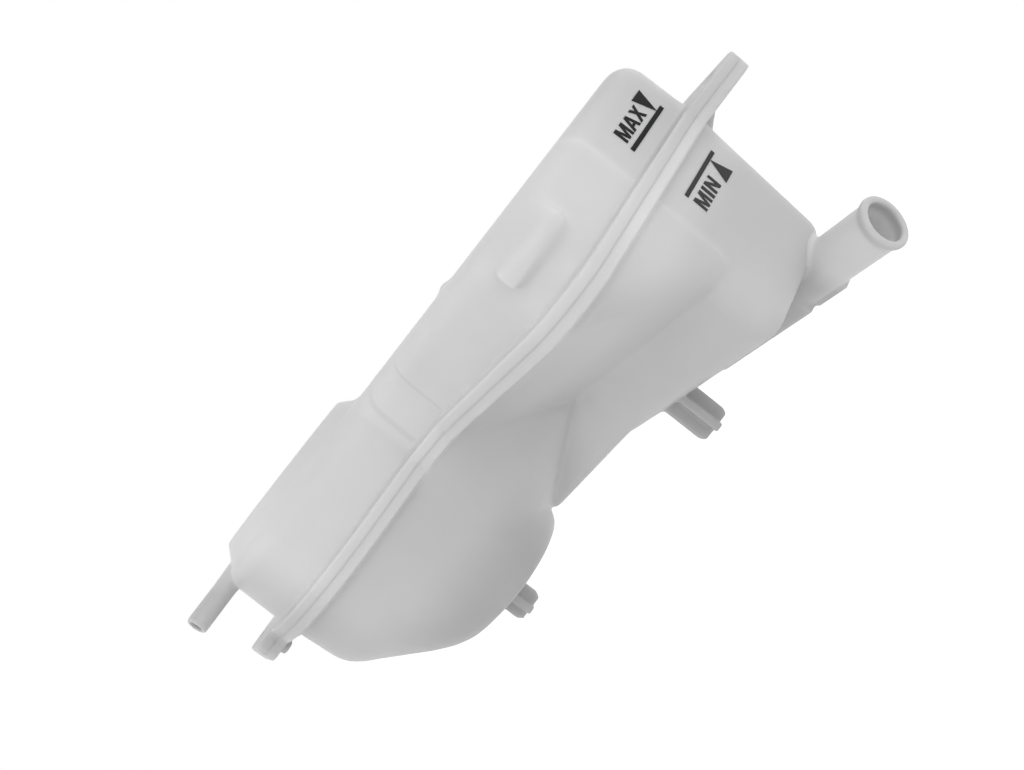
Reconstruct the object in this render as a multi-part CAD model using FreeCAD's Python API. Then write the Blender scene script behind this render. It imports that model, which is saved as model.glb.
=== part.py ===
"""Coolant expansion tank for a car: two moulded half shells welded at a flat flange.

The drawing frame has X along the face with the level marks, Y from that face into the tank
and Z up. Z is zero in the weld plane, where the two half shells meet. The finished pieces
are moved so that the hole of the right mounting ear becomes the origin.
"""
import FreeCAD, Part
import os
from math import acos, atan2, cos, degrees, hypot, radians, sin

V = FreeCAD.Vector

# Walls of both mouldings.
WALL = 3.0
DRAFT = 1.4                 # how far a wall leans in from the weld plane to its far end

# Plan of the main body at the weld plane, seen from above.
LEFT_X = -11.5              # left wall, at the front
RIGHT_X = 113.3             # right wall
FRONT_Y = 7.0               # face with the level marks
BACK_Y = 112.0              # where the right wall turns into the slanting back wall
WAIST_X, WAIST_Y = -8.3, 110.0        # where the left wall turns into the waist
BULB_X, BULB_Y = -40.0, 181.0         # axis of the round end
BULB_R = 46.4
NECK_ANGLE = 254.6          # where the straight front wall of the neck touches the round end
NECK_LENGTH = 33.0          # length of that straight wall
LEFT_FRONT_R = 21.0
RIGHT_FRONT_R = 13.0
RIGHT_BACK_R = 28.0
WAIST_R = 4.0
ABOVE = 10.0                # how far lower walls are drawn past the weld plane before trimming
FAR = 500.0                 # size of the boxes that trim, larger than the tank

# Shallow step in the face with the marks: the right part stands back.
STEP_X = 53.0
STEP_DEPTH = 1.6

# Upper half.
TOP_Z = 34.5
TOP_EDGE_R = 10.0

# Weld flange, shared by both halves.
FLANGE_WIDTH = 5.5
FLANGE_HALF = 4.5           # thickness of one half

# Filler on the round end: a low plateau with a threaded neck hanging inside.
FILLER_X, FILLER_Y = -35.0, 181.0
PLATEAU_Z = 40.5
PLATEAU_BASE_R = 43.8
PLATEAU_TOP_R = 37.8
FILLER_BORE = 48.0
FILLER_WALL = 3.0
FILLER_DEPTH = 24.0
FILLER_CHAMFER = 1.5

# Vent spigot high on the round end, pointing to the left.
VENT_OD = 9.4
VENT_BORE = 6.0
VENT_Y, VENT_Z = 203.0, 30.0
VENT_TIP_X = -104.0
VENT_ROOT_X = -68.0                   # inner end of its bore, between the wall and the filler's neck
VENT_LIP = 0.8
VENT_FLARE_X, VENT_FLARE = -85.5, 0.6  # the root grows thicker by this radius from here to the wall

# Oblong pad round the front left corner of the upper half.
PAD_OUT = 4.5
PAD_LOW, PAD_HIGH = 16.1, 25.7
PAD_FROM, PAD_TO = 208.0, 290.0       # angles about the axis of that corner
PAD_R = 3.2

# Gate mark on the top face.
GATE_X, GATE_Y, GATE_R, GATE_H = 14.4, 70.9, 3.2, 1.2

# Mounting ears in the flange.
EAR_HOLE_D = 6.6
RIGHT_EAR_X, RIGHT_EAR_Y = 112.0, -2.0
RIGHT_EAR_TIP = (117.5, -13.0)
RIGHT_EAR_SIDE_X = 121.0
RIGHT_EAR_ROOT_X = 93.0
RIGHT_EAR_BACK_Y = 26.0
LEFT_EAR_X, LEFT_EAR_Y = -84.0, 222.0
LEFT_EAR_SIDE = (-98.5, 198.0)
LEFT_EAR_TIP = (-91.0, 233.0)
LEFT_EAR_BACK = (-68.0, 230.0)
EAR_CORNER_R = 3.0
EAR_LUG_X, EAR_LUG_Y = -87.0, 212.0
EAR_LUG_R, EAR_LUG_H = 3.0, 3.5       # lug under the left ear
GUSSET_OUT, GUSSET_HEIGHT, GUSSET_THICK = 10.0, 5.5, 3.0
GUSSET_TURN = -35.0         # direction of the right gusset in plan; the left one is opposite

# Lower half: floor that slopes from the left wall down to the sump.
SLOPE_FOOT_X, SLOPE_FOOT_Z = 39.4, -38.5
SLOPE_TIP_R = 6.0
SLOPE_RIDGE_R = 11.0

# Sump on the right.
SUMP_LEFT_TOP_X = 38.5
SUMP_LEFT_X = 42.6
SUMP_RIGHT_X = 108.5
SUMP_FRONT_Y = 9.4
SUMP_BACK_Y = 108.0
SUMP_Z = -70.3
SUMP_FRONT_R = 11.0
SUMP_BOTTOM_R = 10.5

# Channel from the sump to the bowl.
CHANNEL_X, CHANNEL_Y = 13.0, 150.0
CHANNEL_RIDGE_Z = -63.0
CHANNEL_Z = -67.0
CHANNEL_WIDTH = 26.0
CHANNEL_TOP_WIDTH = 41.0    # at the weld plane; it reaches past the back wall and is trimmed to it
CHANNEL_LEAN = 2.0
CHANNEL_START_Y = 90.0      # where the channel begins to swell out of the sump's left wall
CHANNEL_FOOT_X = 33.0       # its foot where the waist begins
CHANNEL_FOOT_R = 8.0
FAIRING_R = 6.0             # rounding of the ridge between the waist's wall and the bowl
FAIRING_SINK = 0.5          # how far its other end lies inside the bowl's skin
FAIRING_LEVELS = (0.0, -12.0, -25.0, -38.5, -47.0, -55.0, -63.0)

# Bowl under the round end. Each level is the outline round two circles: one that starts
# from the round end and one over the floor. A level gives its height, how far the first
# circle's centre still is towards the round end (1 to 0), both radii, and how much the
# skin there faces downwards (0 for an upright wall, 1 for the floor).
BOWL_FLOOR_X, BOWL_FLOOR_Y = -16.4, 165.2
BOWL_FLOOR_Z = -67.5
BOWL_LEVELS = (
    (0.0, 1.0, 46.2, 37.0, 0.0),
    (-25.0, 1.0, 45.3, 36.2, 0.1),
    (-30.0, 0.98, 44.4, 36.0, 0.3),
    (-35.0, 0.92, 42.6, 35.7, 0.5),
    (-40.0, 0.83, 40.2, 35.3, 0.6),
    (-56.0, 0.53, 33.8, 34.0, 0.7),
    (-62.5, 0.38, 31.0, 33.0, 0.8),
    (-66.2, 0.28, 28.0, 31.2, 0.9),
    (BOWL_FLOOR_Z, 0.22, 25.5, 28.8, 1.0),
)

# Outlet spigot under the face with the marks, and the trough behind it.
OUTLET_X, OUTLET_Z = 92.8, -75.2
OUTLET_OD = 20.0
OUTLET_BEAD_OD = 22.2
OUTLET_BEAD = 3.0
OUTLET_BORE = 16.0
OUTLET_TIP_Y = -17.0
TROUGH_FRONT_Y, TROUGH_BACK_Y = 29.0, 87.0   # box under the sump's floor that the outlet drains
TROUGH_R = 2.5
TAB_FRONT_Y = 13.0
TAB_HEIGHT, TAB_WIDTH = 1.5, 8.0

# Locating pegs: X, Y, Z of the tip and width across the crossed ribs.
SUMP_PEG = (56.0, 86.0, -92.0, 16.5)
BOWL_PEG = (-23.5, 168.0, -82.5, 14.5)
PEG_RIB = 4.0
PEG_TURN = -35.0
PEG_TIP = 2.6                         # height of the tapered tip


def inset(corners, d):
    """Corners (u, v, radius) of a closed outline, moved inwards by d; outwards if negative."""
    moved = []
    for i, (u, v, r) in enumerate(corners):
        pu, pv, _ = corners[i - 1]
        nu, nv, _ = corners[(i + 1) % len(corners)]
        a = hypot(u - pu, v - pv)
        b = hypot(nu - u, nv - v)
        n1 = (-(v - pv) / a, (u - pu) / a)
        n2 = (-(nv - v) / b, (nu - u) / b)
        k = d / (1 + n1[0] * n2[0] + n1[1] * n2[1])
        turn = (u - pu) * (nv - v) - (v - pv) * (nu - u)
        radius = 0 if r == 0 else max(r - d if turn > 0 else r + d, 0.3)
        moved.append((u + (n1[0] + n2[0]) * k, v + (n1[1] + n2[1]) * k, radius))
    return moved


def outline(corners, place):
    """Closed wire through the corners, with an arc at each that has a radius."""
    ends = []
    for i, (u, v, r) in enumerate(corners):
        pu, pv, _ = corners[i - 1]
        nu, nv, _ = corners[(i + 1) % len(corners)]
        if r == 0:
            ends.append([(u, v)])
            continue
        a = atan2(pv - v, pu - u)
        b = atan2(nv - v, nu - u)
        half = abs((b - a + radians(180)) % radians(360) - radians(180)) / 2
        reach = r * cos(half) / sin(half)
        first = (u + reach * cos(a), v + reach * sin(a))
        last = (u + reach * cos(b), v + reach * sin(b))
        mid_u, mid_v = (first[0] + last[0]) / 2 - u, (first[1] + last[1]) / 2 - v
        k = (r / sin(half) - r) / hypot(mid_u, mid_v)
        ends.append([first, (u + mid_u * k, v + mid_v * k), last])
    edges = []
    for i, points in enumerate(ends):
        if len(points) == 3:
            edges.append(Part.Arc(*[place(*p) for p in points]).toShape())
        start, stop = place(*points[-1]), place(*ends[(i + 1) % len(ends)][0])
        edges.append(Part.makeLine(start, stop))
    return Part.Wire(edges)


def level(z):
    """Places an outline's (u, v) at X, Y on the height z."""
    return lambda u, v: V(u, v, z)


def drafted(low_corners, low_z, high_corners, high_z):
    """Solid between two outlines with as many corners, at two heights."""
    wires = [outline(low_corners, level(low_z)), outline(high_corners, level(high_z))]
    return Part.makeLoft(wires, True, True)


def plate(corners, low_z, high_z):
    """Flat plate with this outline between two heights."""
    return Part.Face(outline(corners, level(low_z))).extrude(V(0, 0, high_z - low_z))


def cone(x, y, low_z, low_r, high_z, high_r):
    """Upright cone or cylinder between two heights."""
    if abs(low_r - high_r) < 1e-6:
        return Part.makeCylinder(low_r, high_z - low_z, V(x, y, low_z))
    return Part.makeCone(low_r, high_r, high_z - low_z, V(x, y, low_z))


def round_edges(solid, radius, chosen):
    """Fillet of the edges for which chosen(edge) is true."""
    return solid.makeFillet(radius, [e for e in solid.Edges if chosen(e)])


def lies_at(z):
    """Test for an edge that lies wholly at the height z."""
    return lambda e: abs(e.BoundBox.ZMin - z) < 1e-4 and abs(e.BoundBox.ZMax - z) < 1e-4


def round_neck_point():
    """Where the straight front wall of the neck touches the round end."""
    a = radians(NECK_ANGLE)
    return BULB_X + BULB_R * cos(a), BULB_Y + BULB_R * sin(a)


def neck_corner():
    """Where the waist meets the straight front wall of the neck."""
    x, y = round_neck_point()
    a = radians(NECK_ANGLE + 90)
    return x + NECK_LENGTH * cos(a), y + NECK_LENGTH * sin(a)


def back_point():
    """Where the slanting back wall touches the round end."""
    dx, dy = RIGHT_X - BULB_X, BACK_Y - BULB_Y
    a = atan2(dy, dx) + acos(BULB_R / hypot(dx, dy))
    return BULB_X + BULB_R * cos(a), BULB_Y + BULB_R * sin(a)


def body_corners(front_y):
    """Plan of the main body. Its far end lies inside the round end."""
    return [
        (LEFT_X, front_y, LEFT_FRONT_R),
        (RIGHT_X, front_y, RIGHT_FRONT_R),
        (RIGHT_X, BACK_Y, RIGHT_BACK_R),
        (*back_point(), 0),
        (BULB_X, BULB_Y, 0),
        (*round_neck_point(), 0),
        (*neck_corner(), WAIST_R),
        (WAIST_X, WAIST_Y, WAIST_R),
    ]


def half_space(x, side):
    """Box on one side of the plane at x: side is -1 or 1."""
    return Part.makeBox(FAR, FAR, FAR, V(x if side > 0 else x - FAR, -FAR / 2, -FAR / 2))


def upper_solid(d):
    """Upper half as a full solid, with every face moved inwards by d."""
    top = TOP_Z - d
    solids = []
    for front_y, side in ((FRONT_Y, -1), (FRONT_Y + STEP_DEPTH, 1)):
        corners = body_corners(front_y)
        block = drafted(inset(corners, d), 0, inset(corners, d + DRAFT), top)
        block = round_edges(block, TOP_EDGE_R - d, lies_at(top))
        solids.append(block.common(half_space(STEP_X - d, side)))
    bulb = cone(BULB_X, BULB_Y, 0, BULB_R - d, top, BULB_R - d - DRAFT)
    solids.append(round_edges(bulb, TOP_EDGE_R - d, lies_at(top)))
    rise = PLATEAU_Z - TOP_Z
    solids.append(cone(FILLER_X, FILLER_Y, top, PLATEAU_BASE_R - d, top + rise, PLATEAU_TOP_R - d))
    solids.append(cone(FILLER_X, FILLER_Y, top - rise, PLATEAU_BASE_R - d, top, PLATEAU_BASE_R - d))
    return solids[0].fuse(solids[1:])


def sump_solid(d):
    """Deep box on the right, under the level marks."""
    top = [
        (SUMP_LEFT_TOP_X, FRONT_Y + STEP_DEPTH, SUMP_FRONT_R),
        (RIGHT_X, FRONT_Y + STEP_DEPTH, RIGHT_FRONT_R),
        (RIGHT_X, BACK_Y, RIGHT_BACK_R),
        (SUMP_LEFT_TOP_X, BACK_Y + 20, SUMP_FRONT_R),
    ]
    foot = [
        (SUMP_LEFT_X, SUMP_FRONT_Y, SUMP_FRONT_R),
        (SUMP_RIGHT_X, SUMP_FRONT_Y, RIGHT_FRONT_R),
        (SUMP_RIGHT_X, SUMP_BACK_Y, RIGHT_BACK_R),
        (SUMP_LEFT_X, SUMP_BACK_Y + 16, SUMP_FRONT_R),
    ]
    box = drafted(inset(foot, d), SUMP_Z + d, inset(top, d), 0)
    return round_edges(box, SUMP_BOTTOM_R - d, lies_at(SUMP_Z + d))


def slope_solid(d):
    """Sloping floor left of the sump: a section across X, carried back to the waist."""
    def section(left_x):
        return inset([
            (left_x, ABOVE, 0),
            (left_x, -FLANGE_HALF, 0),
            (SLOPE_FOOT_X, SLOPE_FOOT_Z, 0),
            (STEP_X, SLOPE_FOOT_Z, SLOPE_TIP_R),
            (STEP_X, ABOVE, 0),
        ], d)
    front = outline(section(LEFT_X), lambda u, v: V(u, FRONT_Y + d, v))
    back = outline(section(WAIST_X), lambda u, v: V(u, WAIST_Y, v))
    wedge = Part.makeLoft([front, back], True, True)
    foot_x, foot_z, _ = section(LEFT_X)[2]
    wedge = wedge.cut(ridge_cutter(foot_x, FRONT_Y + d, foot_z, SLOPE_RIDGE_R - d))
    return wedge.common(plate(inset(body_corners(FRONT_Y), d), SLOPE_FOOT_Z, ABOVE))


def ridge_cutter(x, y, z, radius):
    """What a rounding of this radius takes off the ridge that rises to the left from (x, y, z)."""
    length = 3 * hypot(SLOPE_FOOT_X - LEFT_X, SLOPE_FOOT_Z + FLANGE_HALF) / 2
    block = Part.makeBox(length, radius, radius)
    block = block.cut(Part.makeCylinder(radius, length, V(0, radius, radius), V(1, 0, 0)))
    block.translate(V(-0.8 * length, 0, 0))
    rise = degrees(atan2(-FLANGE_HALF - SLOPE_FOOT_Z, SLOPE_FOOT_X - LEFT_X))
    block.rotate(V(0, 0, 0), V(0, 1, 0), rise)
    block.translate(V(x, y, z))
    return block


def neck_solid(d):
    """Wall and channel that run from the back of the sloping floor into the bowl."""
    neck_x, neck_y = neck_corner()
    run = hypot(CHANNEL_X - neck_x, CHANNEL_Y - neck_y)
    ux, uy = (CHANNEL_X - neck_x) / run, (CHANNEL_Y - neck_y) / run

    def near(foot_x):
        return inset([
            (WAIST_X, ABOVE, 0),
            (WAIST_X, -FLANGE_HALF, 0),
            (SLOPE_FOOT_X, SLOPE_FOOT_Z, 0),
            (foot_x, CHANNEL_Z, CHANNEL_FOOT_R),
            (SUMP_RIGHT_X, CHANNEL_Z, 0),
            (RIGHT_X, ABOVE, 0),
        ], d)
    far = inset([
        (0, ABOVE, 0),
        (0, -FLANGE_HALF, 0),
        (run, CHANNEL_RIDGE_Z, 0),
        (run + CHANNEL_LEAN, CHANNEL_Z, CHANNEL_LEAN),
        (run + CHANNEL_WIDTH, CHANNEL_Z, 0),
        (run + CHANNEL_TOP_WIDTH, ABOVE, 0),
    ], d)
    wires = [
        outline(near(SUMP_LEFT_X + WALL), lambda u, v: V(u, CHANNEL_START_Y, v)),
        outline(near(CHANNEL_FOOT_X), lambda u, v: V(u, WAIST_Y, v)),
        outline(far, lambda u, v: V(neck_x + ux * u, neck_y + uy * u, v)),
    ]
    return Part.makeLoft(wires, True, True).common(
        plate(inset(body_corners(FRONT_Y), d), CHANNEL_Z, ABOVE))


def round_pair(x1, y1, r1, x2, y2, r2, z):
    """Wire round two circles: an arc of each and the two lines that touch both."""
    axis = atan2(y2 - y1, x2 - x1)
    lean = acos((r1 - r2) / hypot(x2 - x1, y2 - y1))

    def on(x, y, r, a):
        return V(x + r * cos(a), y + r * sin(a), z)
    a1, a2 = axis + lean, axis - lean + radians(360)
    p1, p2, p3 = (on(x1, y1, r1, a) for a in (a1, (a1 + a2) / 2, a2))
    p4, p5, p6 = (on(x2, y2, r2, a) for a in (axis - lean, axis, axis + lean))
    edges = [Part.Arc(p1, p2, p3).toShape(), Part.makeLine(p3, p4),
             Part.Arc(p4, p5, p6).toShape(), Part.makeLine(p6, p1)]
    return Part.Wire(edges)


def bowl_solid(d):
    """Bowl under the round end: upright walls, then a slope on the left down to the floor."""
    wires = []
    for z, share, r1, r2, down in BOWL_LEVELS:
        x = BOWL_FLOOR_X + share * (BULB_X - BOWL_FLOOR_X)
        y = BOWL_FLOOR_Y + share * (BULB_Y - BOWL_FLOOR_Y)
        side = d * (1 - down / 2)
        wires.append(round_pair(x, y, r1 - side, BOWL_FLOOR_X, BOWL_FLOOR_Y, r2 - side, z + d * down))
    return Part.makeLoft(wires, True, True)


def ridge_point(z):
    """X and Y of the edge that runs down the waist and then down the ridge to the bowl."""
    if z > SLOPE_FOOT_Z:
        share = max(-FLANGE_HALF - z, 0) / (-FLANGE_HALF - SLOPE_FOOT_Z)
        return WAIST_X + share * (SLOPE_FOOT_X - WAIST_X), WAIST_Y
    share = (SLOPE_FOOT_Z - z) / (SLOPE_FOOT_Z - CHANNEL_RIDGE_Z)
    return (SLOPE_FOOT_X + share * (CHANNEL_X - SLOPE_FOOT_X), WAIST_Y + share * (CHANNEL_Y - WAIST_Y))


def bowl_side_r(z):
    """Radius of the bowl's circle over its floor at the height z."""
    for (high, _, _, high_r, _), (low, _, _, low_r, _) in zip(BOWL_LEVELS, BOWL_LEVELS[1:]):
        if z >= low:
            return high_r + (high - z) / (high - low) * (low_r - high_r)
    return BOWL_LEVELS[-1][3]


def fairing_solid(d):
    """Smooth wall from the ridge to the bowl, which may stand out as far as the flange does."""
    wires = []
    for z in FAIRING_LEVELS:
        x, y = ridge_point(z)
        reach = hypot(BOWL_FLOOR_X - x, BOWL_FLOOR_Y - y)
        x += (BOWL_FLOOR_X - x) * FAIRING_R / reach
        y += (BOWL_FLOOR_Y - y) * FAIRING_R / reach
        r = bowl_side_r(z) - FAIRING_SINK - d
        wires.append(round_pair(BOWL_FLOOR_X, BOWL_FLOOR_Y, r, x, y, FAIRING_R - d, z))
    top = wires[0].copy()
    top.translate(V(0, 0, ABOVE))
    solid = Part.makeLoft([top] + wires, True, True)
    return solid.common(plate(inset(body_corners(FRONT_Y), d - FLANGE_WIDTH), CHANNEL_Z, ABOVE))


def lower_solid(d):
    """Lower half as a full solid, with every face moved inwards by d."""
    whole = sump_solid(d).fuse([slope_solid(d), neck_solid(d), bowl_solid(d)])
    whole = whole.fuse(fairing_solid(d))
    return whole.common(Part.makeBox(FAR, FAR, FAR, V(-FAR / 2, -FAR / 2, -FAR)))


def flange_half(side):
    """Half of the weld flange with its share of the ears, above (1) or below (-1) the weld plane."""
    low, high = sorted((0, side * FLANGE_HALF))
    r = BULB_R + FLANGE_WIDTH
    plates = [plate(corners, low, high) for corners in (
        inset(body_corners(FRONT_Y), -FLANGE_WIDTH), right_ear_corners(), left_ear_corners())]
    return plates[0].fuse(plates[1:] + [cone(BULB_X, BULB_Y, low, r, high, r)])


def right_ear_corners():
    """Plan of the tab at the front right corner of the flange."""
    flange_y = FRONT_Y - FLANGE_WIDTH
    inside = RIGHT_X - RIGHT_FRONT_R
    return [
        (RIGHT_EAR_ROOT_X, flange_y, 0),
        (*RIGHT_EAR_TIP, EAR_CORNER_R),
        (RIGHT_EAR_SIDE_X, RIGHT_EAR_TIP[1] + EAR_CORNER_R, EAR_CORNER_R),
        (RIGHT_EAR_SIDE_X, RIGHT_EAR_BACK_Y, EAR_CORNER_R),
        (RIGHT_X, RIGHT_EAR_BACK_Y + 2 * FLANGE_WIDTH, 0),
        (inside, RIGHT_EAR_BACK_Y, 0),
    ]


def left_ear_corners():
    """Plan of the tab at the back of the round end."""
    return [
        (BULB_X, BULB_Y, 0),
        (*LEFT_EAR_BACK, 0),
        (*LEFT_EAR_TIP, EAR_CORNER_R),
        (*LEFT_EAR_SIDE, EAR_CORNER_R),
    ]


def corner_pad():
    """Oblong pad that stands out of the rounded front left corner of the upper half."""
    x, y = LEFT_X + LEFT_FRONT_R, FRONT_Y + LEFT_FRONT_R
    outer = cone(x, y, PAD_LOW, LEFT_FRONT_R + PAD_OUT, PAD_HIGH, LEFT_FRONT_R + PAD_OUT)
    outer = round_edges(outer, PAD_R, lies_at(PAD_HIGH))
    outer = outer.cut(cone(x, y, PAD_LOW, LEFT_FRONT_R - WALL, PAD_HIGH, LEFT_FRONT_R - WALL))
    reach = 3 * LEFT_FRONT_R
    middle = radians((PAD_FROM + PAD_TO) / 2)
    ends = [V(x, y, PAD_LOW)]
    for a in (radians(PAD_FROM), middle, radians(PAD_TO)):
        ends.append(V(x + reach * cos(a), y + reach * sin(a), PAD_LOW))
    sector = Part.Face(Part.makePolygon(ends + [ends[0]])).extrude(V(0, 0, PAD_HIGH - PAD_LOW))
    return outer.common(sector)


def filler_neck():
    """Neck that hangs under the filler's plateau, as a tube without its thread."""
    low = PLATEAU_Z - FILLER_DEPTH
    outer = FILLER_BORE / 2 + FILLER_WALL
    return cone(FILLER_X, FILLER_Y, low, outer, PLATEAU_Z - WALL / 2, outer)


def filler_hole():
    """Bore of the filler with a bevel at its mouth."""
    low, r = PLATEAU_Z - FILLER_DEPTH, FILLER_BORE / 2
    bore = cone(FILLER_X, FILLER_Y, low, r, PLATEAU_Z, r)
    mouth = cone(FILLER_X, FILLER_Y, PLATEAU_Z - FILLER_CHAMFER, r, PLATEAU_Z, r + FILLER_CHAMFER)
    return bore.fuse(mouth)


def tube_along(axis, root, tip, diameter):
    """Cylinder from the point root along axis to the distance of the point tip."""
    return Part.makeCylinder(diameter / 2, (tip - root).Length, root, axis)


def vent_spigot():
    """Small hose spigot of the upper half: its outside and its bore."""
    left = V(-1, 0, 0)
    root, tip = V(VENT_ROOT_X, VENT_Y, VENT_Z), V(VENT_TIP_X, VENT_Y, VENT_Z)
    body = tube_along(left, root, tip, VENT_OD)
    body = round_edges(body, VENT_LIP, lambda e: e.BoundBox.XMax < VENT_TIP_X + 1e-3)
    flare = Part.makeCone(VENT_OD / 2 + VENT_FLARE, VENT_OD / 2, VENT_ROOT_X - VENT_FLARE_X, root, left)
    return body.fuse(flare), tube_along(left, root, tip, VENT_BORE)


def trough(d):
    """Box that hangs under the sump's floor behind the outlet, with every face moved inwards by d."""
    half = OUTLET_OD / 2 - d
    front, back = TROUGH_FRONT_Y + d, TROUGH_BACK_Y - d
    low, high = OUTLET_Z - OUTLET_OD / 2 + d, SUMP_Z + 2 * WALL
    box = Part.makeBox(2 * half, back - front, high - low, V(OUTLET_X - half, front, low))
    return round_edges(box, TROUGH_R, lambda e: e.BoundBox.ZMin < high - 1e-3 and e.BoundBox.YMax > front + 1e-3)


def outlet_spigot():
    """Hose spigot of the lower half with its bead, tab and trough, and what is hollow in it."""
    front = V(0, -1, 0)
    root, tip = V(OUTLET_X, TROUGH_FRONT_Y + WALL, OUTLET_Z), V(OUTLET_X, OUTLET_TIP_Y, OUTLET_Z)
    body = tube_along(front, root, tip, OUTLET_OD)
    bead_root = V(OUTLET_X, OUTLET_TIP_Y + OUTLET_BEAD, OUTLET_Z)
    bead = tube_along(front, bead_root, tip, OUTLET_BEAD_OD)
    bead = bead.makeFillet((OUTLET_BEAD_OD - OUTLET_OD) / 2 - 0.1, [
        e for e in bead.Edges if e.BoundBox.YLength < 1e-3])
    tab = Part.makeBox(TAB_WIDTH, TROUGH_FRONT_Y - TAB_FRONT_Y, OUTLET_OD / 2 + TAB_HEIGHT, V(
        OUTLET_X - TAB_WIDTH / 2, TAB_FRONT_Y, OUTLET_Z - OUTLET_OD / 2 - TAB_HEIGHT))
    bore = tube_along(front, root, tip, OUTLET_BORE)
    return body.fuse([bead, tab, trough(0)]), bore.fuse(trough(WALL))


def peg(x, y, tip_z, width, root_z):
    """Locating peg of crossed ribs, tapered at its tip."""
    half = width / 2
    ribs = []
    for turn in (PEG_TURN, PEG_TURN + 90):
        section = [(-half, root_z), (-half, tip_z + PEG_TIP), (-half + PEG_TIP / 2, tip_z),
                   (half - PEG_TIP / 2, tip_z), (half, tip_z + PEG_TIP), (half, root_z)]
        points = [V(u, -PEG_RIB / 2, v) for u, v in section]
        rib = Part.Face(Part.makePolygon(points + [points[0]])).extrude(V(0, PEG_RIB, 0))
        rib.rotate(V(0, 0, 0), V(0, 0, 1), turn)
        rib.translate(V(x, y, 0))
        ribs.append(rib)
    return ribs[0].fuse(ribs[1])


def gusset(x, y, turn, top_z):
    """Triangular rib under an ear, from (x, y) outwards in the direction of turn."""
    points = [V(-WALL, 0, top_z), V(GUSSET_OUT, 0, top_z), V(0, 0, top_z - GUSSET_HEIGHT),
              V(-WALL, 0, top_z - GUSSET_HEIGHT)]
    rib = Part.Face(Part.makePolygon(points + [points[0]])).extrude(V(0, GUSSET_THICK, 0))
    rib.translate(V(0, -GUSSET_THICK / 2, 0))
    rib.rotate(V(0, 0, 0), V(0, 0, 1), turn)
    rib.translate(V(x, y, 0))
    return rib


def ear_holes():
    """Bolt holes through both ears."""
    drills = []
    for x, y in ((RIGHT_EAR_X, RIGHT_EAR_Y), (LEFT_EAR_X, LEFT_EAR_Y)):
        drills.append(cone(x, y, -2 * FLANGE_HALF, EAR_HOLE_D / 2, 2 * FLANGE_HALF, EAR_HOLE_D / 2))
    return drills


def upper_shell():
    """Upper half as moulded."""
    vent, vent_bore = vent_spigot()
    gate = cone(GATE_X, GATE_Y, TOP_Z - WALL / 2, GATE_R, TOP_Z + GATE_H, GATE_R - GATE_H)
    cavity = upper_solid(WALL)
    vent = vent.cut(cavity)
    shell = upper_solid(0).fuse([flange_half(1), corner_pad(), gate]).cut(cavity)
    shell = shell.fuse([vent, filler_neck()])
    return shell.cut([filler_hole(), vent_bore] + ear_holes())


def lower_shell():
    """Lower half as moulded."""
    outlet, outlet_bore = outlet_spigot()
    turn = radians(GUSSET_TURN)
    right_root = (RIGHT_X - RIGHT_FRONT_R * (1 - cos(turn)),
                  FRONT_Y + STEP_DEPTH + RIGHT_FRONT_R * (1 + sin(turn)))
    left_root = (BULB_X - BULB_R * cos(turn), BULB_Y - BULB_R * sin(turn))
    parts = [
        flange_half(-1),
        outlet,
        peg(*SUMP_PEG, SUMP_Z + WALL / 2),
        peg(*BOWL_PEG, BOWL_FLOOR_Z + WALL / 2),
        gusset(*right_root, GUSSET_TURN, -FLANGE_HALF),
        gusset(*left_root, GUSSET_TURN + 180, -FLANGE_HALF),
        cone(EAR_LUG_X, EAR_LUG_Y, -FLANGE_HALF - EAR_LUG_H, EAR_LUG_R, 0, EAR_LUG_R),
    ]
    shell = lower_solid(0).fuse(parts).cut(lower_solid(WALL))
    return shell.cut([outlet_bore] + ear_holes())


def main():
    os.makedirs("parts", exist_ok=True)
    datum = V(-RIGHT_EAR_X, -RIGHT_EAR_Y, 0)
    for name, build in (("upper_shell", upper_shell), ("lower_shell", lower_shell)):
        shape = build().removeSplitter()
        shape.translate(datum)
        shape.exportStep("parts/%s.step" % name)
        print(name, shape.isValid(), len(shape.Solids), round(shape.Volume), shape.BoundBox)


main()
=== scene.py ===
"""Looks of a moulded coolant expansion tank in milky polypropylene, built round its CAD frame."""
from math import cos, hypot, radians, sin

import bmesh
import bpy
from mathutils import Matrix, Vector


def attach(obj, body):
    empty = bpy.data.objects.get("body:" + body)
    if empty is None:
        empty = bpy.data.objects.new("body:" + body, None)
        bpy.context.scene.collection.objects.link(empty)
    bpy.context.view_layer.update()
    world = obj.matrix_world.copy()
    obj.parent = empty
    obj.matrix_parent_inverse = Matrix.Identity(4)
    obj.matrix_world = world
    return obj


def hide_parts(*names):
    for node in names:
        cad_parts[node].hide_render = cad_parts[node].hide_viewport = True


MM = 0.001

# The camera stands low in front of the left half and is rolled, as the photograph was taken.
CAMERA_PLACE = (-312.2 * MM, -210.3 * MM, 34.5 * MM)
CAMERA_HEADING = radians(35)      # from +Y towards +X
CAMERA_DIP = radians(6.81)        # below the level
CAMERA_ROLL = radians(52.354)
CAMERA_LENS, CAMERA_SENSOR = 33.4, 36         # mm

# Filler neck, as in the CAD.
FILLER_X, FILLER_Y = -147 * MM, 183 * MM
FILLER_BORE_R = 24 * MM
FILLER_LOW, FILLER_HIGH = 18.5 * MM, 35.5 * MM
THREAD_TURNS, THREAD_OUT, THREAD_THICK = 3.0, 1.3 * MM, 1.9 * MM
THREAD_STEPS = 96                 # a turn

# Axes of the outlet spigot, along Y, and of the two locating pegs, along Z, as in the CAD.
OUTLET_X, OUTLET_Z = -19.2 * MM, -75.2 * MM
SUMP_PEG_X, SUMP_PEG_Y = -56 * MM, 88 * MM
BOWL_PEG_X, BOWL_PEG_Y = -135.5 * MM, 170 * MM

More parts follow.
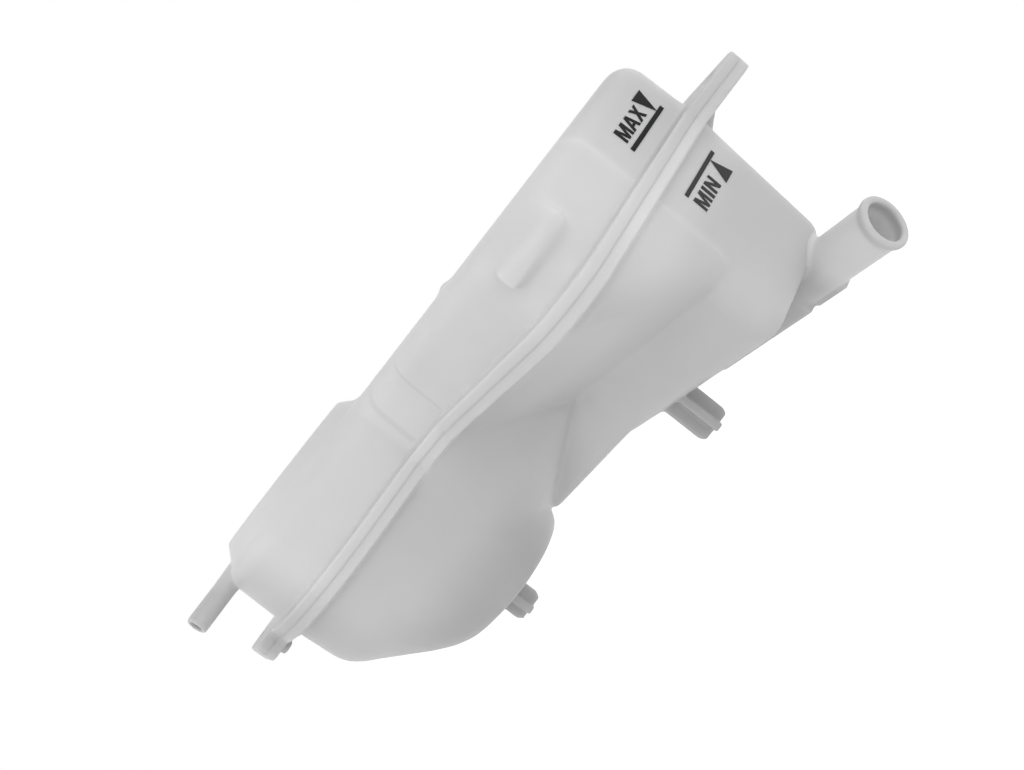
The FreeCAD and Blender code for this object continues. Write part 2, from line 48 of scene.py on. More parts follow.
# Face with the level marks: its right part leans in from the weld plane up and down.
FACE_Y = 10.6 * MM
FACE_TOP_Z, FACE_TOP_IN = 34.5 * MM, 1.4 * MM
FACE_FOOT_Z, FACE_FOOT_IN = -70.3 * MM, 0.8 * MM
MARK_THICK, MARK_SUNK = 0.25 * MM, 0.2 * MM   # how far the ink stands out and reaches in

# Level marks as boxes of X and Z on that face: a bar, a word and an arrow with its tip at the bar.
MAX_BAR = (-45.7 * MM, -16.7 * MM, 10.7 * MM, 12.5 * MM)
MAX_WORD = (-44.5 * MM, -25.4 * MM, 14.5 * MM, 20.7 * MM)
MAX_ARROW = (-24.4 * MM, -17.1 * MM, 12.5 * MM, 22.1 * MM)
MIN_BAR = (-46.7 * MM, -18.1 * MM, -14.3 * MM, -12.6 * MM)
MIN_WORD = (-46.1 * MM, -30.0 * MM, -22.7 * MM, -16.4 * MM)
MIN_ARROW = (-26.8 * MM, -19.4 * MM, -14.4 * MM, -23.8 * MM)
ARROW_LEAN = 0.55                 # where the tip stands between the ends of its base

# Condensed capitals: each has its width and its closed outlines in a box one wide and one high.
MAX_GAP, MIN_GAP = 0.08, 0.2      # between letters, in the letters' own widths
LETTERS = {
    "M": (0.98, [[(0, 0), (0, 1), (0.28, 1), (0.5, 0.3), (0.72, 1), (1, 1), (1, 0), (0.81, 0),
                  (0.81, 0.76), (0.59, 0), (0.41, 0), (0.19, 0.76), (0.19, 0)]]),
    "A": (0.84, [[(0, 0), (0.36, 1), (0.64, 1), (1, 0), (0.76, 0), (0.69, 0.22), (0.31, 0.22), (0.24, 0)],
                 [(0.37, 0.4), (0.63, 0.4), (0.5, 0.79)]]),
    "X": (0.80, [[(0, 0), (0.36, 0.51), (0.03, 1), (0.3, 1), (0.5, 0.68), (0.7, 1), (0.97, 1), (0.64, 0.51),
                  (1, 0), (0.73, 0), (0.5, 0.35), (0.27, 0)]]),
    "I": (0.22, [[(0, 0), (0, 1), (1, 1), (1, 0)]]),
    "N": (0.80, [[(0, 0), (0, 1), (0.27, 1), (0.76, 0.33), (0.76, 1), (1, 1), (1, 0), (0.73, 0),
                  (0.24, 0.68), (0.24, 0)]]),
}

SHELL_VOXEL = 0.85 * MM
SHELL_SMOOTH = 5
WELD_SPARE = 3 * MM               # how far a half is drawn past the weld plane before it is trimmed to it
WELD_CLOSE = 1e-5                 # a corner this near to the weld plane lies on it
BLEND_SMOOTH, PAD_SMOOTH = 45, 140
SHELL_TRIANGLES = 180000
MERGE_NEAR = 1e-6                 # corners of the CAD's loose triangles that are one corner
TOUCHING = 1e-7                   # the same for corners made here

# Where the blending of the upper half starts and where it is full.
UPPER_FOOT_Z, UPPER_HEAD_Z = (5.5 * MM, 8 * MM), (37 * MM, 34 * MM)
VENT_ROOT_X = (-184 * MM, -180 * MM)
NECK_RIM_R = (25 * MM, 29 * MM)
PAD_LEFT_X, PAD_RIGHT_X = (-124 * MM, -112 * MM), (-84 * MM, -96 * MM)
PAD_BACK_Y = (40 * MM, 34 * MM)
PAD_FOOT_Z, PAD_HEAD_Z = (5.5 * MM, 9 * MM), (37 * MM, 33 * MM)

# The same of the lower half.
LOWER_HEAD_Z, LOWER_FOOT_Z = (-6 * MM, -10 * MM), (-74 * MM, -71 * MM)
OUTLET_TOP_Z, OUTLET_SIDE_X = (-62 * MM, -59 * MM), (-26 * MM, -33 * MM)
PEG_TOP_Z = (-65 * MM, -62 * MM)
SUMP_PEG_R, BOWL_PEG_R = (11 * MM, 15 * MM), (10 * MM, 14 * MM)
GUSSET_FOOT_Z = (-10.5 * MM, -12.5 * MM)
RIGHT_GUSSET_X, LEFT_GUSSET_X = (-6 * MM, -12 * MM), (-196 * MM, -190 * MM)

# Where each painted shade or painted light on the wall starts and where it is full.
# Painted shade: the right end and the left tips (vent and ears) darker.
RIGHT_END_X, LEFT_TIPS_X = (-75 * MM, -15 * MM), (-187 * MM, -204 * MM)
# Painted shade: the bowl's floor and the pegs, which face down, darker.
BOWL_FLOOR_Z, BOWL_FLOOR_X = (-30 * MM, -60 * MM), (-110 * MM, -140 * MM)
PEG_Z, PEG_X = (-66 * MM, -72 * MM), (-40 * MM, -52 * MM)
# Painted light on the lower half's weld rim, which faces down, and a faint painted shade on the upper's.
WELD_RIM_UNDER_Z, WELD_RIM_OVER_Z = (-6.5 * MM, -5 * MM), (6.5 * MM, 5 * MM)
WELD_RIM_X = (-4 * MM, -30 * MM)
# Painted light: a lighter band on the lower wall under the rim.
UNDER_RIM_Z, UNDER_RIM_X = (-30 * MM, -14 * MM), (-115 * MM, -75 * MM)
# Painted light on the outlet tube and inside its bore; painted shade on its lip.
OUTLET_R, OUTLET_ROOT_Y = (13 * MM, 12 * MM), (22 * MM, 8 * MM)
LIP_Y = (-9.5 * MM, -12.5 * MM)
BORE_R, BORE_MOUTH_Y = (9.2 * MM, 8.6 * MM), (-13 * MM, -8 * MM)

# Two faint lines of painted shade across the waist wall, where its corners turn: their places, half width
# and reach.
WAIST_SHADE_LINES_Y = (106.5 * MM, 124.5 * MM)
WAIST_SHADE_LINE_HALF = (1.7 * MM, 0.2 * MM)
WAIST_SHADE_LINES_X = (-112 * MM, -117 * MM)
WAIST_SHADE_LINES_FOOT_Z, WAIST_SHADE_LINES_HEAD_Z = (5 * MM, 8 * MM), (34 * MM, 30 * MM)

# Milky plastic: its two colours, from thin to thick wall, and its painted light and shade by place.
UPPER_THIN, UPPER_THICK = (0.66, 0.66, 0.66), (0.73, 0.73, 0.73)
# In the shades, values below 1 are painted shade and values above 1 painted light.
UPPER_SHADES = {"Right End": 0.83, "Left Tips": 0.80, "Weld Rim": 0.98, "Waist Shade Lines": 0.92}
# The lower half's colours are darker than the upper's: painted shade of the half that faces down.
LOWER_SHADED_THIN, LOWER_SHADED_THICK = (0.56, 0.56, 0.56), (0.63, 0.63, 0.63)
LOWER_SHADES = {"Right End": 0.90, "Left Tips": 0.85, "Deep Floor": 0.77, "Weld Rim": 1.13,
                "Under Rim": 1.12, "Outlet": 1.32, "Lip": 0.8, "Bore": 1.2}
MAX_INK, MIN_INK = (0.004, 0.004, 0.004), (0.03, 0.03, 0.031)
INK_WORN = 1.6                    # how much lighter the ink is where its grain is thin

FLOOR_Z, FLOOR_HALF = -0.30, 6.0
FLOOR_COLOUR = (0.8, 0.8, 0.8, 1)
FLOOR_GLOW = 0.55                 # added to the floor for the eye and for reflections alone
WORLD_LIGHT = 0.525               # strength of the white surroundings as light on the tank
LAMP_TARGET, LAMP_REACH, LAMP_SIZE = (-0.1, 0.1, 0), 1.5, 1.2

# Each lamp's name, the side it shines from and its power.
LAMPS = (("left", (-1, 0, 0.3), 5.0), ("front", (0, -1, 0.3), 7.2),
         ("right", (1, -0.3, 0.3), 3.5), ("back", (-0.6, 0.5, 0.8), 3.3))


def new_object(name, mesh):
    """Object for a finished mesh, at the origin."""
    piece = bpy.data.objects.new(name, mesh)
    bpy.context.scene.collection.objects.link(piece)
    return piece


def finished_mesh(piece, name):
    """The piece's mesh with its modifiers applied. The piece keeps none."""
    graph = bpy.context.evaluated_depsgraph_get()
    mesh = bpy.data.meshes.new_from_object(piece.evaluated_get(graph))
    mesh.name = name
    piece.modifiers.clear()
    old = piece.data
    piece.data = mesh
    bpy.data.meshes.remove(old)
    return mesh


def ramp(value, start, full):
    """0 at start, 1 at full and beyond, straight in between; either may be the larger."""
    return min(1.0, max(0.0, (value - start) / (full - start)))


def upper_blend(x, y, z):
    """How strongly the upper half is blended here: its walls, clear of the flange, neck and vent."""
    wall = ramp(z, *UPPER_FOOT_Z) * ramp(z, *UPPER_HEAD_Z)
    vent = ramp(x, *VENT_ROOT_X)
    neck = ramp(hypot(x - FILLER_X, y - FILLER_Y), *NECK_RIM_R)
    return wall * vent * neck


def pad_blend(x, y, z):
    """How strongly the front wall is blended round its pad, which fades into the wall."""
    along = ramp(x, *PAD_LEFT_X) * ramp(x, *PAD_RIGHT_X)
    return along * ramp(y, *PAD_BACK_Y) * ramp(z, *PAD_FOOT_Z) * ramp(z, *PAD_HEAD_Z)


def lower_blend(x, y, z):
    """How strongly the lower half is blended here: its body, clear of flange, pegs, outlet and gussets."""
    body = ramp(z, *LOWER_HEAD_Z) * ramp(z, *LOWER_FOOT_Z)
    outlet = ramp(z, *OUTLET_TOP_Z) + ramp(x, *OUTLET_SIDE_X)
    pegs = ramp(z, *PEG_TOP_Z) + min(
        ramp(hypot(x - SUMP_PEG_X, y - SUMP_PEG_Y), *SUMP_PEG_R),
        ramp(hypot(x - BOWL_PEG_X, y - BOWL_PEG_Y), *BOWL_PEG_R))
    gussets = ramp(z, *GUSSET_FOOT_Z) + min(ramp(x, *RIGHT_GUSSET_X), ramp(x, *LEFT_GUSSET_X))
    return body * min(1.0, outlet) * min(1.0, pegs) * min(1.0, gussets)


def trim_to_weld(mesh, side):
    """Cut the mesh flat at the weld plane and keep its upper (1) or lower (-1) part, closed."""
    work = bmesh.new()
    work.from_mesh(mesh)
    everything = work.verts[:] + work.edges[:] + work.faces[:]
    cut = bmesh.ops.bisect_plane(work, geom=everything, dist=TOUCHING, plane_co=(0, 0, 0),
                                 plane_no=(0, 0, -side), clear_outer=True)
    rim = [item for item in cut["geom_cut"] if isinstance(item, bmesh.types.BMEdge)]
    for edge in rim:
        edge.smooth = False
    bmesh.ops.triangle_fill(work, edges=rim, use_beauty=True, normal=(0, 0, -side))
    bmesh.ops.recalc_face_normals(work, faces=work.faces)
    work.to_mesh(mesh)
    work.free()


def softened_shell(node, name, side, blends):
    """A copy of a CAD half shell with the soft edges of a moulding, softest where the blends say."""
    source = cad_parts[node].data
    work = bmesh.new()
    work.from_mesh(source)
    bmesh.ops.remove_doubles(work, verts=work.verts, dist=MERGE_NEAR)
    for vertex in work.verts:
        if abs(vertex.co.z) < WELD_CLOSE:
            vertex.co.z -= side * WELD_SPARE
    mesh = bpy.data.meshes.new(name)
    work.to_mesh(mesh)
    work.free()
    shell = new_object(name, mesh)
    remesh = shell.modifiers.new("Remesh", "REMESH")
    remesh.mode = "VOXEL"
    remesh.voxel_size = SHELL_VOXEL
    smooth = shell.modifiers.new("Smooth", "SMOOTH")
    smooth.factor = 0.5
    smooth.iterations = SHELL_SMOOTH
    finished_mesh(shell, name)
    for blend, rounds in blends:
        places = shell.vertex_groups.new(name="blend")
        for vertex in shell.data.vertices:
            weight = blend(*vertex.co)
            if weight > 0:
                places.add([vertex.index], weight, "REPLACE")
        smooth = shell.modifiers.new("Blend", "SMOOTH")
        smooth.factor = 0.5
        smooth.iterations = rounds
        smooth.vertex_group = "blend"
        finished_mesh(shell, name)
        shell.vertex_groups.clear()
    count = sum(len(p.vertices) - 2 for p in shell.data.polygons)
    thin = shell.modifiers.new("Thin", "DECIMATE")
    thin.ratio = min(1.0, SHELL_TRIANGLES / count)
    finished_mesh(shell, name)
    trim_to_weld(shell.data, side)
    shell.data.shade_smooth()
    return shell


def add_camera():
    """Camera at the photograph's place, turned and rolled as it was."""
    heading = Vector((sin(CAMERA_HEADING), cos(CAMERA_HEADING), 0))
    level_right = Vector((cos(CAMERA_HEADING), -sin(CAMERA_HEADING), 0))
    up = Vector((0, 0, 1))
    forward = heading * cos(CAMERA_DIP) - up * sin(CAMERA_DIP)
    level_up = heading * sin(CAMERA_DIP) + up * cos(CAMERA_DIP)
    x_axis = cos(CAMERA_ROLL) * level_right - sin(CAMERA_ROLL) * level_up
    y_axis = sin(CAMERA_ROLL) * level_right + cos(CAMERA_ROLL) * level_up
    turn = Matrix((x_axis, y_axis, -forward)).transposed().to_4x4()
    data = bpy.data.cameras.new("camera")
    data.lens = CAMERA_LENS
    data.sensor_width = CAMERA_SENSOR
    data.clip_start = 0.01
    camera = bpy.data.objects.new("camera", data)
    bpy.context.scene.collection.objects.link(camera)
    camera.matrix_world = Matrix.Translation(CAMERA_PLACE) @ turn
    bpy.context.scene.camera = camera


def add_area_lamp(name, direction, power):
    """Square soft lamp that shines at the tank from the direction."""
    data = bpy.data.lights.new(name, "AREA")
    data.size = LAMP_SIZE
    data.energy = power
    lamp = bpy.data.objects.new(name, data)
    away = Vector(direction).normalized()
    lamp.location = Vector(LAMP_TARGET) + LAMP_REACH * away
    lamp.rotation_euler = (-away).to_track_quat("-Z", "Y").to_euler()
    bpy.context.scene.collection.objects.link(lamp)


def link(tree, source, target):
    tree.links.new(source, target)


def milky_group():
    """Shader group of translucent moulded polypropylene: cloudy colour, gloss and fine orange peel."""
    tree = bpy.data.node_groups.new("milky_moulding", "ShaderNodeTree")
    sockets = tree.interface
    for name, kind, value in (
            ("Thin", "NodeSocketColor", (0.60, 0.60, 0.60, 1)),
            ("Thick", "NodeSocketColor", (0.72, 0.72, 0.72, 1)),
            ("Cloud Scale", "NodeSocketFloat", 30.0),
            ("Gloss Low", "NodeSocketFloat", 0.34),
            ("Gloss High", "NodeSocketFloat", 0.5)):
        sockets.new_socket(name, in_out="INPUT", socket_type=kind).default_value = value
    for name, kind in (("Colour", "NodeSocketColor"), ("Roughness", "NodeSocketFloat"),
                       ("Height", "NodeSocketFloat")):
        sockets.new_socket(name, in_out="OUTPUT", socket_type=kind)
    nodes = tree.nodes
    given = nodes.new("NodeGroupInput")
    result = nodes.new("NodeGroupOutput")
    place = nodes.new("ShaderNodeTexCoord")
    clouds = nodes.new("ShaderNodeTexNoise")
    clouds.inputs["Detail"].default_value = 3
    clouds.inputs["Roughness"].default_value = 0.45
    link(tree, place.outputs["Object"], clouds.inputs["Vector"])
    link(tree, given.outputs["Cloud Scale"], clouds.inputs["Scale"])
    blend = nodes.new("ShaderNodeMix")
    blend.data_type = "RGBA"
    link(tree, clouds.outputs["Fac"], blend.inputs["Factor"])
    link(tree, given.outputs["Thin"], blend.inputs["A"])
    link(tree, given.outputs["Thick"], blend.inputs["B"])
    link(tree, blend.outputs["Result"], result.inputs["Colour"])
    gloss = nodes.new("ShaderNodeMapRange")
    link(tree, clouds.outputs["Fac"], gloss.inputs["Value"])
    link(tree, given.outputs["Gloss Low"], gloss.inputs["To Min"])
    link(tree, given.outputs["Gloss High"], gloss.inputs["To Max"])
    link(tree, gloss.outputs["Result"], result.inputs["Roughness"])
    peel = nodes.new("ShaderNodeTexNoise")
    peel.inputs["Scale"].default_value = 900
    peel.inputs["Detail"].default_value = 2
    link(tree, place.outputs["Object"], peel.inputs["Vector"])
    link(tree, peel.outputs["Fac"], result.inputs["Height"])
    return tree


def wall_shade_group():
    """Shader group of painted light and shade on the milky wall by place, such as its darker ends and its
    lighter rim.
    """
    tree = bpy.data.node_groups.new("wall_shade", "ShaderNodeTree")
    for name in ("Right End", "Left Tips", "Deep Floor", "Weld Rim", "Under Rim", "Waist Shade Lines",
                 "Outlet", "Lip", "Bore"):
        socket = tree.interface.new_socket(name, in_out="INPUT", socket_type="NodeSocketFloat")
        socket.default_value = 1.0
    tree.interface.new_socket("Shade", in_out="OUTPUT", socket_type="NodeSocketFloat")
    nodes = tree.nodes
    given = nodes.new("NodeGroupInput")
    result = nodes.new("NodeGroupOutput")
    place = nodes.new("ShaderNodeTexCoord")
    parts = nodes.new("ShaderNodeSeparateXYZ")
    link(tree, place.outputs["Object"], parts.inputs["Vector"])
    around = nodes.new("ShaderNodeVectorMath")
    around.operation = "MULTIPLY_ADD"
    around.inputs[1].default_value = (1, 0, 1)
    around.inputs[2].default_value = (-OUTLET_X, 0, -OUTLET_Z)
    link(tree, place.outputs["Object"], around.inputs[0])
    away = nodes.new("ShaderNodeVectorMath")
    away.operation = "LENGTH"
    link(tree, around.outputs["Vector"], away.inputs[0])
    x, y, z = (parts.outputs[axis] for axis in "XYZ")
    radius = away.outputs["Value"]

    def fade(value, start, full):
        """0 at start and 1 at full, softly in between."""
        node = nodes.new("ShaderNodeMapRange")
        node.interpolation_type = "SMOOTHSTEP"
        node.inputs["From Min"].default_value = start
        node.inputs["From Max"].default_value = full
        link(tree, value, node.inputs["Value"])
        return node.outputs["Result"]

    def paired(operation, first, second):
        node = nodes.new("ShaderNodeMath")
        node.operation = operation
        link(tree, first, node.inputs[0])
        link(tree, second, node.inputs[1])
        return node.outputs[0]

    def times(first, second):
        return paired("MULTIPLY", first, second)

    def larger(first, second):
        return paired("MAXIMUM", first, second)

    def toward(mask, wanted):
        """1 where the mask is 0, the wanted shade where it is 1."""
        node = nodes.new("ShaderNodeMix")
        node.inputs["A"].default_value = 1.0
        link(tree, mask, node.inputs["Factor"])
        link(tree, given.outputs[wanted], node.inputs["B"])
        return node.outputs["Result"]

    def from_shade_line(line_y):
        """Distance along Y from the middle of a painted shade line."""
        aside = nodes.new("ShaderNodeMath")
        aside.operation = "SUBTRACT"
        link(tree, y, aside.inputs[0])
        aside.inputs[1].default_value = line_y
        size = nodes.new("ShaderNodeMath")
        size.operation = "ABSOLUTE"
        link(tree, aside.outputs[0], size.inputs[0])
        return size.outputs[0]

    # Masks of painted shade and painted light on the wall, by place.
    bowl = times(fade(z, *BOWL_FLOOR_Z), fade(x, *BOWL_FLOOR_X))
    pegs = times(fade(z, *PEG_Z), fade(x, *PEG_X))
    rim = times(fade(z, *WELD_RIM_UNDER_Z), fade(z, *WELD_RIM_OVER_Z))
    shade_lines = larger(*(fade(from_shade_line(line_y), *WAIST_SHADE_LINE_HALF) for line_y in WAIST_SHADE_LINES_Y))
    shade_lines = times(shade_lines, fade(x, *WAIST_SHADE_LINES_X))
    masks = {
        "Right End": fade(x, *RIGHT_END_X),
        "Waist Shade Lines": times(shade_lines, times(fade(z, *WAIST_SHADE_LINES_FOOT_Z), fade(z, *WAIST_SHADE_LINES_HEAD_Z))),
        "Left Tips": fade(x, *LEFT_TIPS_X),
        "Deep Floor": larger(bowl, pegs),
        "Weld Rim": times(rim, fade(x, *WELD_RIM_X)),
        "Under Rim": times(fade(z, *UNDER_RIM_Z), fade(x, *UNDER_RIM_X)),
        "Outlet": times(fade(radius, *OUTLET_R), fade(y, *OUTLET_ROOT_Y)),
        "Lip": times(fade(radius, *OUTLET_R), fade(y, *LIP_Y)),
        "Bore": times(fade(radius, *BORE_R), fade(y, *BORE_MOUTH_Y)),
    }
    shades = [toward(mask, name) for name, mask in masks.items()]
    shade = shades[0]
    for other in shades[1:]:
        shade = times(shade, other)
    link(tree, shade, result.inputs["Shade"])
    return tree


def milky_plastic(name, group, thin, thick, shade_group, shades):
    """Polypropylene material with its own two colours and its painted light and shade along the tank."""
    material = bpy.data.materials.new(name)
    material.use_nodes = True
    tree = material.node_tree
    shader = tree.nodes["Principled BSDF"]
    moulding = tree.nodes.new("ShaderNodeGroup")
    moulding.node_tree = group
    moulding.inputs["Thin"].default_value = (*thin, 1)
    moulding.inputs["Thick"].default_value = (*thick, 1)
    shade = tree.nodes.new("ShaderNodeGroup")
    shade.node_tree = shade_group
    for socket, value in shades.items():
        shade.inputs[socket].default_value = value
    shaded = tree.nodes.new("ShaderNodeMix")
    shaded.data_type = "RGBA"
    shaded.blend_type = "MULTIPLY"
    shaded.inputs["Factor"].default_value = 1.0
    link(tree, moulding.outputs["Colour"], shaded.inputs["A"])
    link(tree, shade.outputs["Shade"], shaded.inputs["B"])
    link(tree, shaded.outputs["Result"], shader.inputs["Base Color"])
    link(tree, moulding.outputs["Roughness"], shader.inputs["Roughness"])
    bump = tree.nodes.new("ShaderNodeBump")
    bump.inputs["Strength"].default_value = 0.15
    bump.inputs["Distance"].default_value = 0.0001
    link(tree, moulding.outputs["Height"], bump.inputs["Height"])
    link(tree, bump.outputs["Normal"], shader.inputs["Normal"])
    shader.inputs["Subsurface Weight"].default_value = 0.5
    shader.inputs["Subsurface Radius"].default_value = (1.0, 1.0, 1.0)
    shader.inputs["Subsurface Scale"].default_value = 0.003
    shader.inputs["Specular IOR Level"].default_value = 0.4
    return material


def printed_ink(name, colour):
    """Matt pad printing ink."""
    material = bpy.data.materials.new(name)
    material.use_nodes = True
    tree = material.node_tree
    shader = tree.nodes["Principled BSDF"]
    place = tree.nodes.new("ShaderNodeTexCoord")
    grain = tree.nodes.new("ShaderNodeTexNoise")
    grain.inputs["Scale"].default_value = 1200
    link(tree, place.outputs["Object"], grain.inputs["Vector"])
    shade = tree.nodes.new("ShaderNodeMix")
    shade.data_type = "RGBA"
    shade.inputs["A"].default_value = (*colour, 1)
    shade.inputs["B"].default_value = (*(INK_WORN * part for part in colour), 1)
    link(tree, grain.outputs["Fac"], shade.inputs["Factor"])
    link(tree, shade.outputs["Result"], shader.inputs["Base Color"])
    shader.inputs["Roughness"].default_value = 0.7
    shader.inputs["Specular IOR Level"].default_value = 0.25
    return material


def face_y(z):
    """Y of the face with the level marks at the height z, on its right part."""
    if z > 0:
        return FACE_Y + FACE_TOP_IN * z / FACE_TOP_Z
    return FACE_Y + FACE_FOOT_IN * z / FACE_FOOT_Z


def word_outlines(word, gap, box):
    """Outlines of the word's letters, with the gap between them, stretched to the box of X and Z."""
    left, right, low, high = box
    total = sum(LETTERS[letter][0] for letter in word) + gap * (len(word) - 1)
    scale = (right - left) / total
    outlines = []
    for letter in word:
        width, shapes = LETTERS[letter]
        for shape in shapes:
            outlines.append([(left + u * width * scale, low + v * (high - low)) for u, v in shape])
        left += (width + gap) * scale
    return outlines


def level_mark(name, word, gap, bar, word_box, arrow, ink):
    """One printed level mark on the face: bar, word and arrow, as thick as the ink."""
    outlines = word_outlines(word, gap, word_box)
    left, right, low, high = bar
    outlines.append([(left, low), (right, low), (right, high), (left, high)])
    left, right, tip, base = arrow
    outlines.append([(left, base), (left + (right - left) * ARROW_LEAN, tip), (right, base)])
    curve = bpy.data.curves.new(name, "CURVE")
    curve.dimensions = "2D"
    curve.fill_mode = "BOTH"
    curve.extrude = MARK_THICK
    for outline in outlines:
        spline = curve.splines.new("POLY")
        spline.points.add(len(outline) - 1)
        spline.use_cyclic_u = True
        for point, (x, z) in zip(spline.points, outline):
            point.co = (x, z, 0, 1)
    drawn = new_object(name, curve)
    graph = bpy.context.evaluated_depsgraph_get()
    mesh = bpy.data.meshes.new_from_object(drawn.evaluated_get(graph))
    bpy.data.objects.remove(drawn)
    bpy.data.curves.remove(curve)
    for vertex in mesh.vertices:
        x, z, depth = vertex.co
        vertex.co = (x, face_y(z) + (-MARK_THICK if depth > 0 else MARK_SUNK), z)
    work = bmesh.new()
    work.from_mesh(mesh)
    bmesh.ops.remove_doubles(work, verts=work.verts, dist=TOUCHING)
    bmesh.ops.recalc_face_normals(work, faces=work.faces)
    work.to_mesh(mesh)
    work.free()
    mesh.name = name
    mesh.materials.clear()
    mesh.materials.append(ink)
    return new_object(name, mesh)


def thread_nodes():
    """Geometry nodes of a screw thread: a ridge of diamond section along a spiral round a bore."""
    tree = bpy.data.node_groups.new("screw_thread", "GeometryNodeTree")
    sockets = tree.interface
    for name, kind, value in (
            ("Centre", "NodeSocketVector", (FILLER_X, FILLER_Y, FILLER_LOW)),
            ("Radius", "NodeSocketFloat", FILLER_BORE_R),
            ("Turns", "NodeSocketFloat", THREAD_TURNS),
            ("Rise", "NodeSocketFloat", FILLER_HIGH - FILLER_LOW),
            ("Ridge Depth", "NodeSocketFloat", THREAD_OUT),
            ("Ridge Thickness", "NodeSocketFloat", THREAD_THICK),
            ("Steps a Turn", "NodeSocketInt", THREAD_STEPS)):
        sockets.new_socket(name, in_out="INPUT", socket_type=kind).default_value = value
    sockets.new_socket("Material", in_out="INPUT", socket_type="NodeSocketMaterial")
    sockets.new_socket("Geometry", in_out="OUTPUT", socket_type="NodeSocketGeometry")
    nodes = tree.nodes
    given = nodes.new("NodeGroupInput")
    result = nodes.new("NodeGroupOutput")
    spiral = nodes.new("GeometryNodeCurveSpiral")
    link(tree, given.outputs["Steps a Turn"], spiral.inputs["Resolution"])
    link(tree, given.outputs["Turns"], spiral.inputs["Rotations"])
    link(tree, given.outputs["Radius"], spiral.inputs["Start Radius"])
    link(tree, given.outputs["Radius"], spiral.inputs["End Radius"])
    link(tree, given.outputs["Rise"], spiral.inputs["Height"])
    upright = nodes.new("GeometryNodeSetCurveNormal")
    upright.mode = "Z_UP"
    link(tree, spiral.outputs["Curve"], upright.inputs["Curve"])
    double = nodes.new("ShaderNodeMath")
    double.operation = "MULTIPLY"
    double.inputs[1].default_value = 2
    link(tree, given.outputs["Ridge Depth"], double.inputs[0])
    section = nodes.new("GeometryNodeCurvePrimitiveQuadrilateral")
    section.mode = "KITE"
    half = nodes.new("ShaderNodeMath")
    half.operation = "MULTIPLY"
    half.inputs[1].default_value = 0.5
    link(tree, given.outputs["Ridge Thickness"], half.inputs[0])
    link(tree, double.outputs[0], section.inputs["Width"])
    link(tree, half.outputs[0], section.inputs["Bottom Height"])
    link(tree, half.outputs[0], section.inputs["Top Height"])
    ridge = nodes.new("GeometryNodeCurveToMesh")
    ridge.inputs["Fill Caps"].default_value = True
    link(tree, upright.outputs["Curve"], ridge.inputs["Curve"])
    link(tree, section.outputs["Curve"], ridge.inputs["Profile Curve"])
    move = nodes.new("GeometryNodeTransform")
    link(tree, ridge.outputs["Mesh"], move.inputs["Geometry"])
    link(tree, given.outputs["Centre"], move.inputs["Translation"])
    real = nodes.new("GeometryNodeRealizeInstances")
    link(tree, move.outputs["Geometry"], real.inputs["Geometry"])
    painted = nodes.new("GeometryNodeSetMaterial")
    link(tree, real.outputs["Geometry"], painted.inputs["Geometry"])
    link(tree, given.outputs["Material"], painted.inputs["Material"])
    link(tree, painted.outputs["Geometry"], result.inputs["Geometry"])
    return tree


def filler_thread(material):
    """Screw thread inside the filler neck."""
    piece = new_object("filler_thread", bpy.data.meshes.new("filler_thread"))
    tree = thread_nodes()
    thread = piece.modifiers.new("Thread", "NODES")
    thread.node_group = tree
    socket = tree.interface.items_tree["Material"].identifier
    thread[socket] = material
    finished_mesh(piece, "filler_thread")
    return piece


def seen_directly(tree):
    """1 for rays from the eye and mirrored ones, 0 for the light that falls on the tank."""
    seen = tree.nodes.new("ShaderNodeLightPath")
    either = tree.nodes.new("ShaderNodeMath")
    either.operation = "MAXIMUM"
    link(tree, seen.outputs["Is Camera Ray"], either.inputs[0])
    link(tree, seen.outputs["Is Glossy Ray"], either.inputs[1])
    return either.outputs[0]


def add_floor():
    """Pale floor that keeps a soft shadow and shows white to the camera."""
    mesh = bpy.data.meshes.new("floor")
    corners = [(x * FLOOR_HALF, y * FLOOR_HALF, FLOOR_Z) for x, y in ((-1, -1), (1, -1), (1, 1), (-1, 1))]
    mesh.from_pydata(corners, [], [(0, 1, 2, 3)])
    floor = new_object("floor", mesh)
    material = bpy.data.materials.new("pale_floor")
    material.use_nodes = True
    tree = material.node_tree
    shader = tree.nodes["Principled BSDF"]
    shader.inputs["Base Color"].default_value = FLOOR_COLOUR
    shader.inputs["Roughness"].default_value = 0.9
    glow = tree.nodes.new("ShaderNodeEmission")
    glow.inputs["Color"].default_value = (1, 1, 1, 1)
    share = tree.nodes.new("ShaderNodeMath")
    share.operation = "MULTIPLY"
    share.inputs[1].default_value = FLOOR_GLOW
    link(tree, seen_directly(tree), share.inputs[0])
    link(tree, share.outputs[0], glow.inputs["Strength"])
    both = tree.nodes.new("ShaderNodeAddShader")
    link(tree, shader.outputs["BSDF"], both.inputs[0])
    link(tree, glow.outputs["Emission"], both.inputs[1])
    link(tree, both.outputs["Shader"], tree.nodes["Material Output"].inputs["Surface"])
    mesh.materials.append(material)


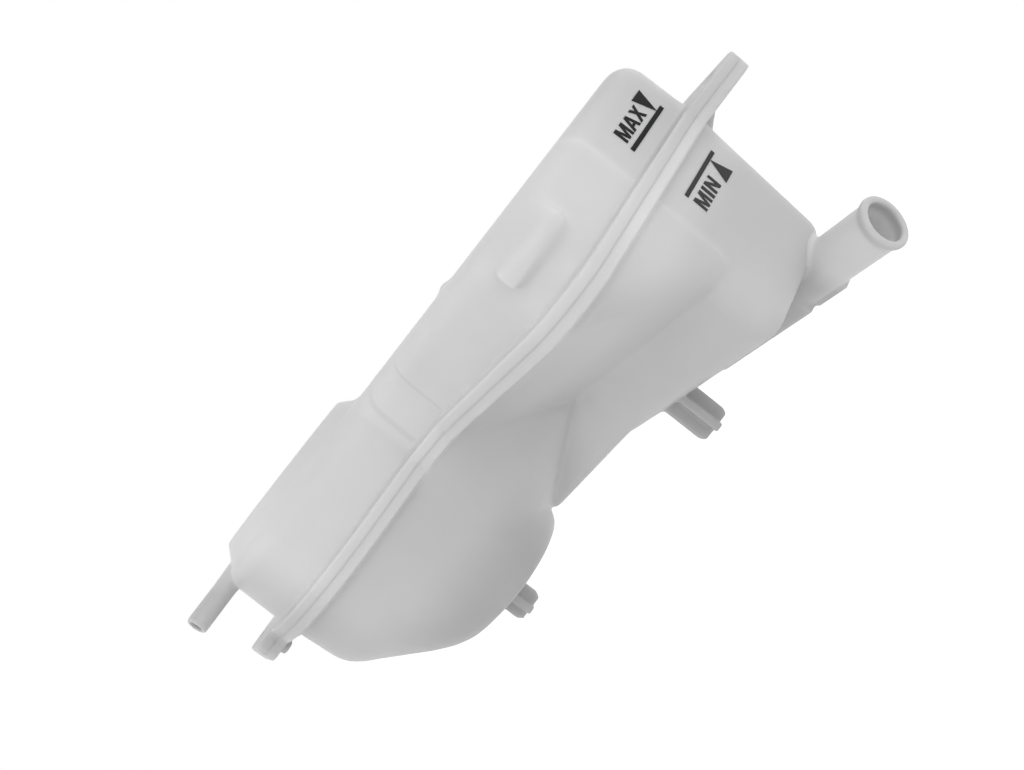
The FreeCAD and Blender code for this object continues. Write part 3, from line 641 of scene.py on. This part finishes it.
def light_the_world():
    """White surroundings to the eye, softer light on the object."""
    world = bpy.data.worlds.new("studio")
    bpy.context.scene.world = world
    world.use_nodes = True
    tree = world.node_tree
    strength = tree.nodes.new("ShaderNodeMapRange")
    strength.inputs["To Min"].default_value = WORLD_LIGHT
    strength.inputs["To Max"].default_value = 1.0
    link(tree, seen_directly(tree), strength.inputs["Value"])
    back = tree.nodes["Background"]
    back.inputs["Color"].default_value = (1, 1, 1, 1)
    link(tree, strength.outputs["Result"], back.inputs["Strength"])


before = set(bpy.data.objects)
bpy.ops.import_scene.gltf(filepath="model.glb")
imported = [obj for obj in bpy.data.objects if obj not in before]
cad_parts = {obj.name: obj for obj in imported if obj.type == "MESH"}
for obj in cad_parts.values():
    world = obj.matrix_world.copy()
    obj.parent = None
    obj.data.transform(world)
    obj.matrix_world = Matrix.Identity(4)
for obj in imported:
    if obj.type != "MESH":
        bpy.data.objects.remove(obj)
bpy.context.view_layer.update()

upper = softened_shell("upper_shell", "upper_moulding", 1,
                       ((upper_blend, BLEND_SMOOTH), (pad_blend, PAD_SMOOTH)))
lower = softened_shell("lower_shell", "lower_moulding", -1, ((lower_blend, BLEND_SMOOTH),))
group = milky_group()
shade_group = wall_shade_group()
upper_plastic = milky_plastic("milky_upper", group, UPPER_THIN, UPPER_THICK, shade_group, UPPER_SHADES)
lower_plastic = milky_plastic("milky_lower", group, LOWER_SHADED_THIN, LOWER_SHADED_THICK, shade_group, LOWER_SHADES)
upper.data.materials.append(upper_plastic)
lower.data.materials.append(lower_plastic)
for piece, node, slot in ((upper, "upper_shell", "upper_plastic"), (lower, "lower_shell", "lower_plastic")):
    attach(piece, "root")
    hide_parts(node)

max_mark = level_mark("max_mark", "MAX", MAX_GAP, MAX_BAR, MAX_WORD, MAX_ARROW,
                      printed_ink("max_ink", MAX_INK))
min_mark = level_mark("min_mark", "MIN", MIN_GAP, MIN_BAR, MIN_WORD, MIN_ARROW,
                      printed_ink("min_ink", MIN_INK))
thread = filler_thread(upper_plastic)
for piece, slot in ((max_mark, "upper_plastic"), (min_mark, "lower_plastic"), (thread, "upper_plastic")):
    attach(piece, "root")

add_floor()
light_the_world()
for name, direction, power in LAMPS:
    add_area_lamp(name, direction, power)
add_camera()
bpy.context.scene.view_settings.view_transform = "Standard"
